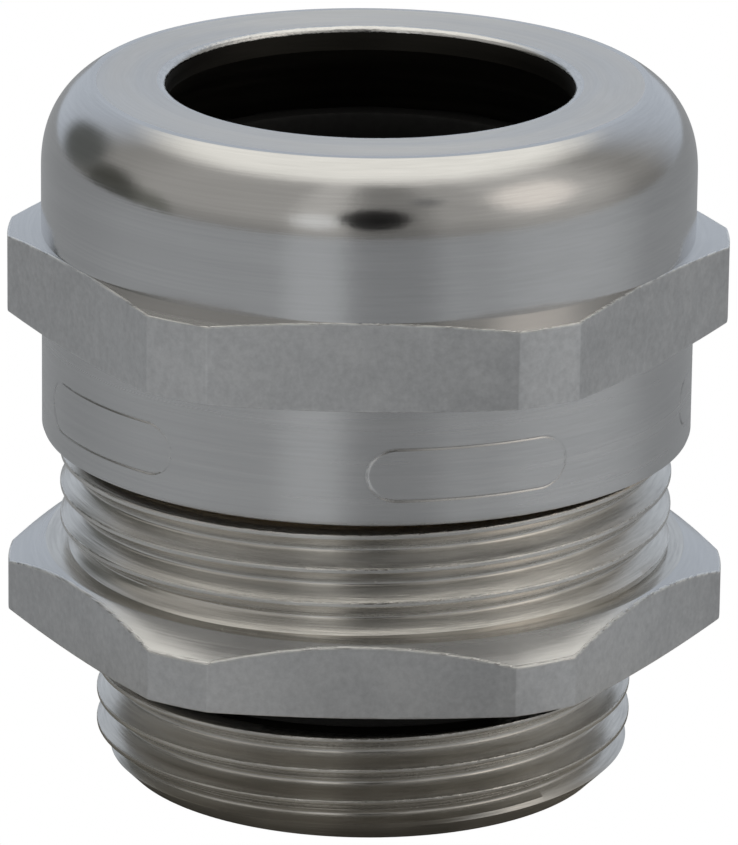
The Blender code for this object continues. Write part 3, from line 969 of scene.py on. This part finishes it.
CAMERA_AZIMUTH, CAMERA_ELEVATION, CAMERA_ROLL = 0.28, 18.0635, 0.7134  # degrees
CAMERA_TARGET = Vector((0.0, 0.0, 0.016236))
CAMERA_DISTANCE = 0.3413493


def make_camera():
    data = bpy.data.cameras.new("camera")
    data.sensor_width = 36.0
    data.lens = 315.58
    data.shift_x, data.shift_y = 0.00321, -0.002
    data.clip_start, data.clip_end = 0.01, 20.0
    camera = bpy.data.objects.new("camera", data)
    bpy.context.scene.collection.objects.link(camera)
    azimuth, roll = math.radians(CAMERA_AZIMUTH), math.radians(CAMERA_ROLL)
    right = Vector((math.cos(azimuth), math.sin(azimuth), 0.0))
    back = Vector(aim_vector(CAMERA_AZIMUTH, CAMERA_ELEVATION))
    up = back.cross(right)
    turned_right = right * math.cos(roll) + up * math.sin(roll)
    turned_up = -right * math.sin(roll) + up * math.cos(roll)
    axes = Matrix((turned_right, turned_up, back)).transposed().to_4x4()
    camera.matrix_world = Matrix.Translation(CAMERA_TARGET + back * CAMERA_DISTANCE) @ axes
    bpy.context.scene.camera = camera


# Bright and dark bands round the room: (azimuth from the front, half width in degrees, brightness they add).
BANDS = [
    (-17.0, 9.0, 0.2),
    (9.0, 13.0, -0.2),
    (74.0, 24.0, 0.17),
    (-140.0, 40.0, -0.12),
    (140.0, 42.0, -0.14),
]
ROOM = (0.44, 0.428, 0.405)
HORIZON_SHADE = 0.72  # how bright the room is at the horizon, against higher up
# Round patches of the room: (azimuth, elevation, radius in degrees, colour, share of the radius that fades).
PATCHES = {
    "back_wall": (180.0, 16.0, 62.0, (0.55, 0.595, 0.66), 0.6),
    "overhead_soft_box": (180.0, 76.0, 44.0, (1.17, 1.14, 1.06), 0.45),
    "dark_left_near": (-84.0, 0.0, 17.0, (0.17, 0.17, 0.15), 0.6),
    "dark_left": (-102.0, 5.0, 19.0, (0.08, 0.08, 0.07), 0.6),
    "dark_left_far": (-128.0, 14.0, 19.0, (0.12, 0.125, 0.12), 0.6),
    "window": (66.0, 30.0, 20.0, (1.05, 0.98, 0.9), 0.7),
    "lamp": (-18.0, 16.0, 11.0, (0.85, 0.85, 0.83), 0.7),
    "lamp_arm": (24.0, 40.0, 6.0, (0.16, 0.16, 0.16), 0.5),
    "black_camera": (2.5, 20.0, 13.5, (0.0, 0.0, 0.0), 0.2),
}
# Painted shadow: in the metal, the floor's colour is darker and warmer near the object.
FLOOR_NEAR_SHADOW, FLOOR_FAR = (0.37, 0.355, 0.325), (0.56, 0.585, 0.63)
FLOOR_NEAR_REACH, FLOOR_FAR_REACH = 0.016, 0.034


def bands(tree, direction, strength):
    """1 plus the bands' brightness, as it varies with a direction's azimuth."""
    level = vector_math(tree, "MULTIPLY", direction, (1.0, 1.0, 0.0)).outputs[0]
    unit = vector_math(tree, "NORMALIZE", level).outputs[0]
    total = 1.0
    for azimuth, half_width, amount in BANDS:
        near = vector_math(tree, "DOT_PRODUCT", unit, aim_vector(azimuth)).outputs["Value"]
        edge = math.cos(math.radians(half_width * 1.5))
        part = remap(tree, near, edge, 1.0, 0.0, amount * strength, True)
        total = math_node(tree, "ADD", part, total)
    return total


def patch(tree, direction, under, azimuth, elevation, radius, colour, fade):
    """A round patch of light or dark over the colour under it."""
    near = vector_math(tree, "DOT_PRODUCT", direction, aim_vector(azimuth, elevation)).outputs["Value"]
    outer, inner = math.cos(math.radians(radius)), math.cos(math.radians(radius * (1 - fade)))
    return mix_colours(tree, remap(tree, near, outer, inner, 0.0, 1.0, True), under, colour)


def shown_white(tree, lit, shown, mixed_into):
    """Links the shader that the camera sees and the one that lights and mirrors."""
    path = tree.nodes.new("ShaderNodeLightPath")
    mix = tree.nodes.new("ShaderNodeMixShader")
    tree.links.new(path.outputs["Is Camera Ray"], mix.inputs[0])
    tree.links.new(lit.outputs[0], mix.inputs[1])
    tree.links.new(shown.outputs[0], mix.inputs[2])
    tree.links.new(mix.outputs[0], tree.nodes.new(mixed_into).inputs["Surface"])


def make_floor():
    """A floor that the camera sees as plain white. In the metal it is duller, with a painted shadow that is
    darkest near the object and painted bands of light and shade round it.
    """
    mesh = bpy.data.meshes.new("floor")
    half = 3.0
    corners = [(-half, -half, 0), (half, -half, 0), (half, half, 0), (-half, half, 0)]
    mesh.from_pydata(corners, [], [(0, 1, 2, 3)])
    floor = bpy.data.objects.new("floor", mesh)
    floor.location.z = -0.00002
    bpy.context.scene.collection.objects.link(floor)
    material = bpy.data.materials.new("white_floor")
    material.use_nodes = True
    tree = material.node_tree
    tree.nodes.clear()
    shown = tree.nodes.new("ShaderNodeEmission")
    lit = tree.nodes.new("ShaderNodeBsdfDiffuse")
    place = object_place(tree)
    away = vector_math(tree, "LENGTH", place).outputs["Value"]
    far = remap(tree, away, FLOOR_NEAR_REACH, FLOOR_FAR_REACH, 0.0, 1.0, True)
    tone = mix_colours(tree, far, FLOOR_NEAR_SHADOW, FLOOR_FAR)
    # Painted light and shade: bright and dark bands laid on the floor by azimuth.
    banded = vector_math(tree, "SCALE", tone, scale=bands(tree, place, 1.3))
    tree.links.new(banded.outputs[0], lit.inputs["Color"])
    shown_white(tree, lit, shown, "ShaderNodeOutputMaterial")
    mesh.materials.append(material)


def make_world():
    """A room that the camera sees as plain white, and that the metal mirrors as bands and patches."""
    world = bpy.data.worlds.new("studio")
    bpy.context.scene.world = world
    world.use_nodes = True
    tree = world.node_tree
    tree.nodes.clear()
    direction = tree.nodes.new("ShaderNodeTexCoord").outputs["Generated"]
    horizon = remap(tree, separate(tree, direction)["Z"], 0.0, 0.3, HORIZON_SHADE, 1.0, True)
    level = math_node(tree, "MULTIPLY", bands(tree, direction, 2.0), horizon)
    total = vector_math(tree, "SCALE", ROOM, scale=level).outputs[0]
    for settings in PATCHES.values():
        total = patch(tree, direction, total, *settings)
    shown = tree.nodes.new("ShaderNodeBackground")
    shown.inputs["Color"].default_value = (1.0, 1.0, 1.0, 1.0)
    lit = tree.nodes.new("ShaderNodeBackground")
    tree.links.new(total, lit.inputs["Color"])
    shown_white(tree, lit, shown, "ShaderNodeOutputWorld")


make_camera()
make_floor()
make_world()
bpy.context.scene.view_settings.view_transform = "Standard"
